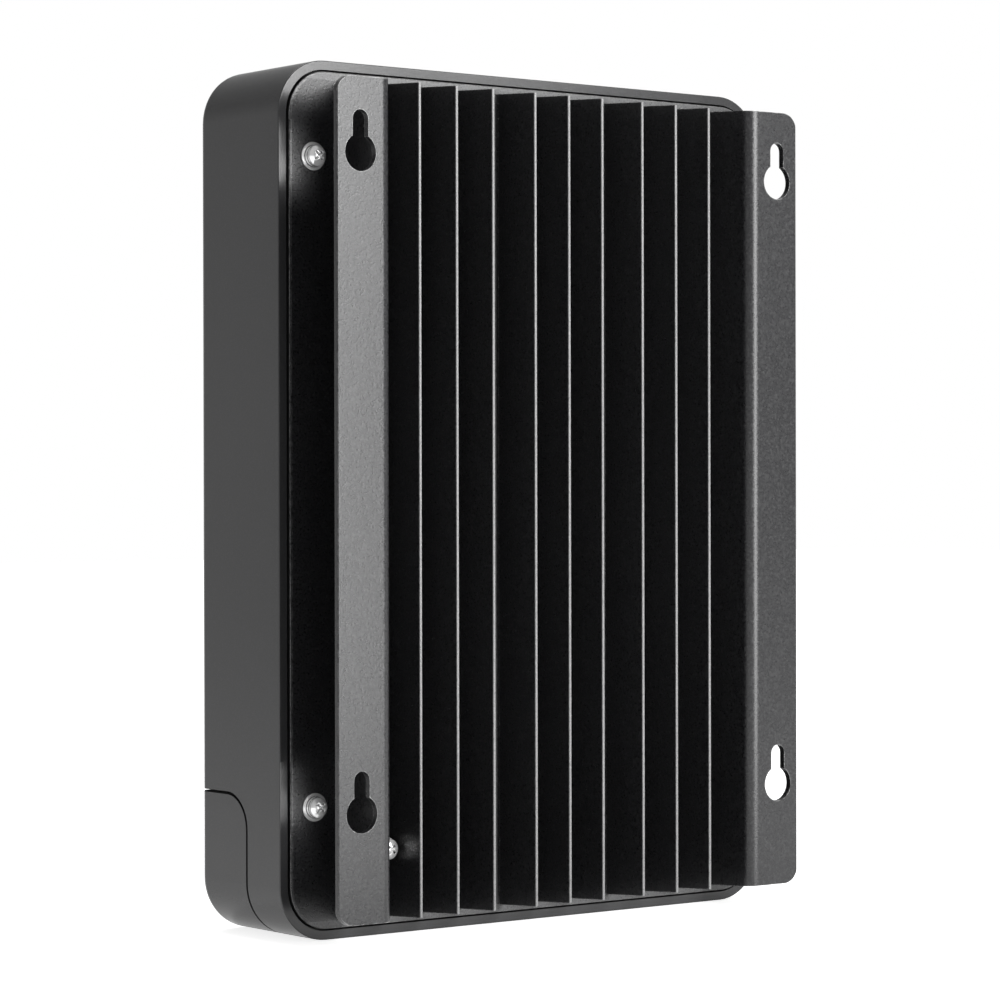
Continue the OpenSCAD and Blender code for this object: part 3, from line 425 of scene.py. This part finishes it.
MATERIALS = {
    # Both coatings get painted shade in gaps and paler edges, partly wear and partly a painted highlight;
    # black_metal also gets a painted highlight on its milled ends and fin tips
    "black_metal": coated("black_metal", (0.010, 0.010, 0.011), (0.35, 0.35, 0.35), rough=0.29,
                          grain_scale=1550.0, bump_depth=0.06 * MM, wear_and_highlight=1.0, ior=1.55,
                          cut_highlight=0.18),
    "case_plastic": coated("case_plastic", (0.030, 0.030, 0.031), (0.20, 0.20, 0.205), rough=0.19,
                           grain_scale=3600.0, bump_depth=0.01 * MM, wear_and_highlight=0.10),
    "zinc_steel": plated_metal("zinc_steel", (1.0, 1.0, 1.0), 0.14, metallic=0.60),
    "bare_aluminium": plated_metal("bare_aluminium", (0.70, 0.71, 0.72), 0.38),
    "brass": plated_metal("brass", (0.76, 0.56, 0.26), 0.28),
    "plated_brass": plated_metal("plated_brass", (0.70, 0.66, 0.52), 0.30),
    "copper_wire": wound_wire("copper_wire", (0.30, 0.09, 0.03), (0.62, 0.24, 0.09)),
    "board": board_laminate("board", (0.012, 0.085, 0.04), (0.03, 0.16, 0.07)),
    "pad_rubber": moulded("pad_rubber", (0.30, 0.33, 0.36), 0.8),
    "epoxy": moulded("epoxy", (0.020, 0.020, 0.022), 0.5),
    "ferrite": moulded("ferrite", (0.05, 0.055, 0.06), 0.55),
    "capacitor_sleeve": moulded("capacitor_sleeve", (0.02, 0.03, 0.07), 0.3),
    "black_plastic": moulded("black_plastic", (0.020, 0.020, 0.022), 0.45),
    "fuse_plastic": moulded("fuse_plastic", (0.60, 0.35, 0.05), 0.25),
    "white_plastic": moulded("white_plastic", (0.70, 0.70, 0.66), 0.4),
    "display_glass": moulded("display_glass", (0.10, 0.12, 0.10), 0.12),
    "window_plastic": clear_plastic("window_plastic", (0.10, 0.11, 0.12), 0.04, transmission=0.35),
    "clear_plastic": clear_plastic("clear_plastic", (0.85, 0.87, 0.87), 0.35, transmission=0.7),
    "key_plastic": moulded("key_plastic", (0.075, 0.075, 0.08), 0.42, 3000.0, 0.02 * MM),
    "plunger_plastic": moulded("plunger_plastic", (0.45, 0.15, 0.05), 0.4),
}


def paint(piece, slot):
    piece.data.materials.clear()
    piece.data.materials.append(MATERIALS[slot])


for name, node in frame["nodes"].items():
    paint(node, slot_of[name])

# Outer pieces whose edges are rounded, with the width of the rounding in millimetres
EDGE_ROUNDING = [
    (("front_housing", "terminal_cover"), 0.25),
    (("heatsink",), 0.2),
    (("heatsink_screws", "earth_screw", "cover_screws"), 0.12),
    (("spring_washers", "flat_washers", "earth_spacer", "earth_washers"), 0.08),
    (("key_menu", "key_up", "key_down", "key_enter"), 0.3),
]
MERGE_DISTANCE = 0.0005 * MM
FLAT_ANGLE = math.radians(0.6)
ROUNDED_ANGLE = math.radians(35)
SHARP_ANGLE = math.radians(28)


def joined_faces(source):
    """Copy of a solid's mesh whose flat faces are each one face."""
    mesh = source.copy()
    tool = bmesh.new()
    tool.from_mesh(mesh)
    bmesh.ops.remove_doubles(tool, verts=tool.verts, dist=MERGE_DISTANCE)
    bmesh.ops.dissolve_limit(tool, angle_limit=FLAT_ANGLE, verts=tool.verts, edges=tool.edges,
                             delimit={"NORMAL"})
    tool.to_mesh(mesh)
    tool.free()
    return mesh


def apply_modifiers(piece):
    bpy.context.view_layer.update()
    shaped = bpy.data.meshes.new_from_object(
        piece.evaluated_get(bpy.context.evaluated_depsgraph_get()))
    piece.modifiers.clear()
    piece.data = shaped
    return shaped


def soften(node_name, edge):
    """Replace a solid by a copy of its mesh with finely rounded edges and flat faces between them."""
    mesh = joined_faces(frame["nodes"][node_name].data)
    piece = bpy.data.objects.new(node_name + "_finished", mesh)
    scene.collection.objects.link(piece)
    bevel = piece.modifiers.new("fine_edge", "BEVEL")
    bevel.width = edge * MM
    bevel.segments = 2
    bevel.limit_method = "ANGLE"
    bevel.angle_limit = ROUNDED_ANGLE
    bevel.use_clamp_overlap = True
    shaped = apply_modifiers(piece)
    shaped.shade_smooth()
    shaped.set_sharp_from_angle(angle=SHARP_ANGLE)
    flat = piece.modifiers.new("flat_faces", "WEIGHTED_NORMAL")
    flat.mode = "FACE_AREA"
    flat.weight = 100
    flat.keep_sharp = True
    apply_modifiers(piece)
    paint(piece, slot_of[node_name])
    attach(piece, body_of[node_name])
    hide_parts(node_name)


for names, edge in EDGE_ROUNDING:
    for name in names:
        soften(name, edge)

# Brightness of the floor and the surroundings, where 1 is white
FLOOR_COLOUR = (0.8, 0.8, 0.8)
FLOOR_GLOW = (0.80, 1.0)  # close to the object, far from it
FLOOR_GLOW_REACH = (0.25, 1.1)  # metres from the object
FLOOR_MIRRORED = (0.36, 0.88)  # in front, behind
FLOOR_MIRRORED_SPAN = (-0.6, 0.3)  # metres along Y
FLOOR_HALF = 4.0
FLOOR_DROP = 0.2 * MM
AROUND_MIRRORED = (0.73, 0.31)  # in front, behind
AROUND_MIRRORED_SPAN = (-0.5, 0.3)  # direction along Y
OVERHEAD_DIMMING = (1.0, 0.32)  # level with the object, overhead
OVERHEAD_SPAN = (0.03, 0.48)  # direction along Z
AROUND_LEAST = 0.35


def seen_and_mirrored(tree, mirrored):
    """1 to the camera and through clear pieces, and the mirrored level in reflections."""
    path = add(tree, "ShaderNodeLightPath").outputs
    direct = math_node(tree, "MAXIMUM", path["Is Camera Ray"], path["Is Transmission Ray"])
    return math_node(tree, "MAXIMUM", direct,
                     math_node(tree, "MULTIPLY", path["Is Glossy Ray"], mirrored))


def floor_material():
    """White floor that keeps the object's shadow."""
    material = bpy.data.materials.new("white_floor")
    material.use_nodes = True
    tree = material.node_tree
    tree.nodes.clear()
    matte = add(tree, "ShaderNodeBsdfDiffuse")
    matte.inputs["Color"].default_value = (*FLOOR_COLOUR, 1.0)
    glow = add(tree, "ShaderNodeEmission")
    both = add(tree, "ShaderNodeAddShader")
    out = add(tree, "ShaderNodeOutputMaterial")
    place = object_place(tree)
    reach = add(tree, "ShaderNodeVectorMath", operation="LENGTH")
    link(tree, place, reach.inputs[0])
    far = ramp(tree, reach.outputs["Value"], FLOOR_GLOW_REACH, FLOOR_GLOW)
    side = ramp(tree, apart(tree, place)["Y"], FLOOR_MIRRORED_SPAN, FLOOR_MIRRORED)
    link(tree, math_node(tree, "MULTIPLY", seen_and_mirrored(tree, side), far),
         glow.inputs["Strength"])
    link(tree, matte.outputs[0], both.inputs[0])
    link(tree, glow.outputs[0], both.inputs[1])
    link(tree, both.outputs[0], out.inputs["Surface"])
    return material


def make_floor():
    mesh = bpy.data.meshes.new("studio_floor")
    corners = [(-FLOOR_HALF, -FLOOR_HALF, 0), (FLOOR_HALF, -FLOOR_HALF, 0),
               (FLOOR_HALF, FLOOR_HALF, 0), (-FLOOR_HALF, FLOOR_HALF, 0)]
    mesh.from_pydata(corners, [], [(0, 1, 2, 3)])
    floor = bpy.data.objects.new("studio_floor", mesh)
    floor.location.z = cad_box[0].z - FLOOR_DROP
    scene.collection.objects.link(floor)
    mesh.materials.append(floor_material())


def make_world():
    """White to the camera. Reflections find it dimmer, most of all overhead."""
    world = bpy.data.worlds.new("white_surroundings")
    world.use_nodes = True
    scene.world = world
    tree = world.node_tree
    background = tree.nodes["Background"]
    background.inputs["Color"].default_value = (1, 1, 1, 1)
    way = apart(tree, add(tree, "ShaderNodeTexCoord").outputs["Generated"])
    level = ramp(tree, way["Y"], AROUND_MIRRORED_SPAN, AROUND_MIRRORED)
    dimming = ramp(tree, way["Z"], OVERHEAD_SPAN, OVERHEAD_DIMMING)
    seen = seen_and_mirrored(tree, math_node(tree, "MULTIPLY", level, dimming))
    link(tree, math_node(tree, "MAXIMUM", seen, AROUND_LEAST), background.inputs["Strength"])


def add_softbox(name, azimuth, elevation, distance, width, height, level):
    """Softbox aimed at the middle of the case, level times as bright as white. Azimuth runs from
    +Y towards +X, in degrees; distance and sizes are in metres."""
    aim = (cad_box[0] + cad_box[1]) / 2
    a, e = math.radians(azimuth), math.radians(elevation)
    out = Vector((math.sin(a) * math.cos(e), math.cos(a) * math.cos(e), math.sin(e)))
    data = bpy.data.lights.new(name, "AREA")
    data.shape = "RECTANGLE"
    data.size = width
    data.size_y = height
    data.energy = level * math.pi * width * height
    lamp = bpy.data.objects.new(name, data)
    lamp.location = aim + out * distance
    lamp.rotation_mode = "QUATERNION"
    lamp.rotation_quaternion = (-out).to_track_quat("-Z", "Y")
    scene.collection.objects.link(lamp)


make_floor()
make_world()
add_softbox("near_softbox", -11, 6, distance=0.40, width=0.18, height=0.50, level=8.0)
add_softbox("high_softbox", -21, 24, distance=0.9, width=0.6, height=0.35, level=6.0)
add_softbox("front_side_fill", 190, 66, distance=2.0, width=1.4, height=1.4, level=2.6)
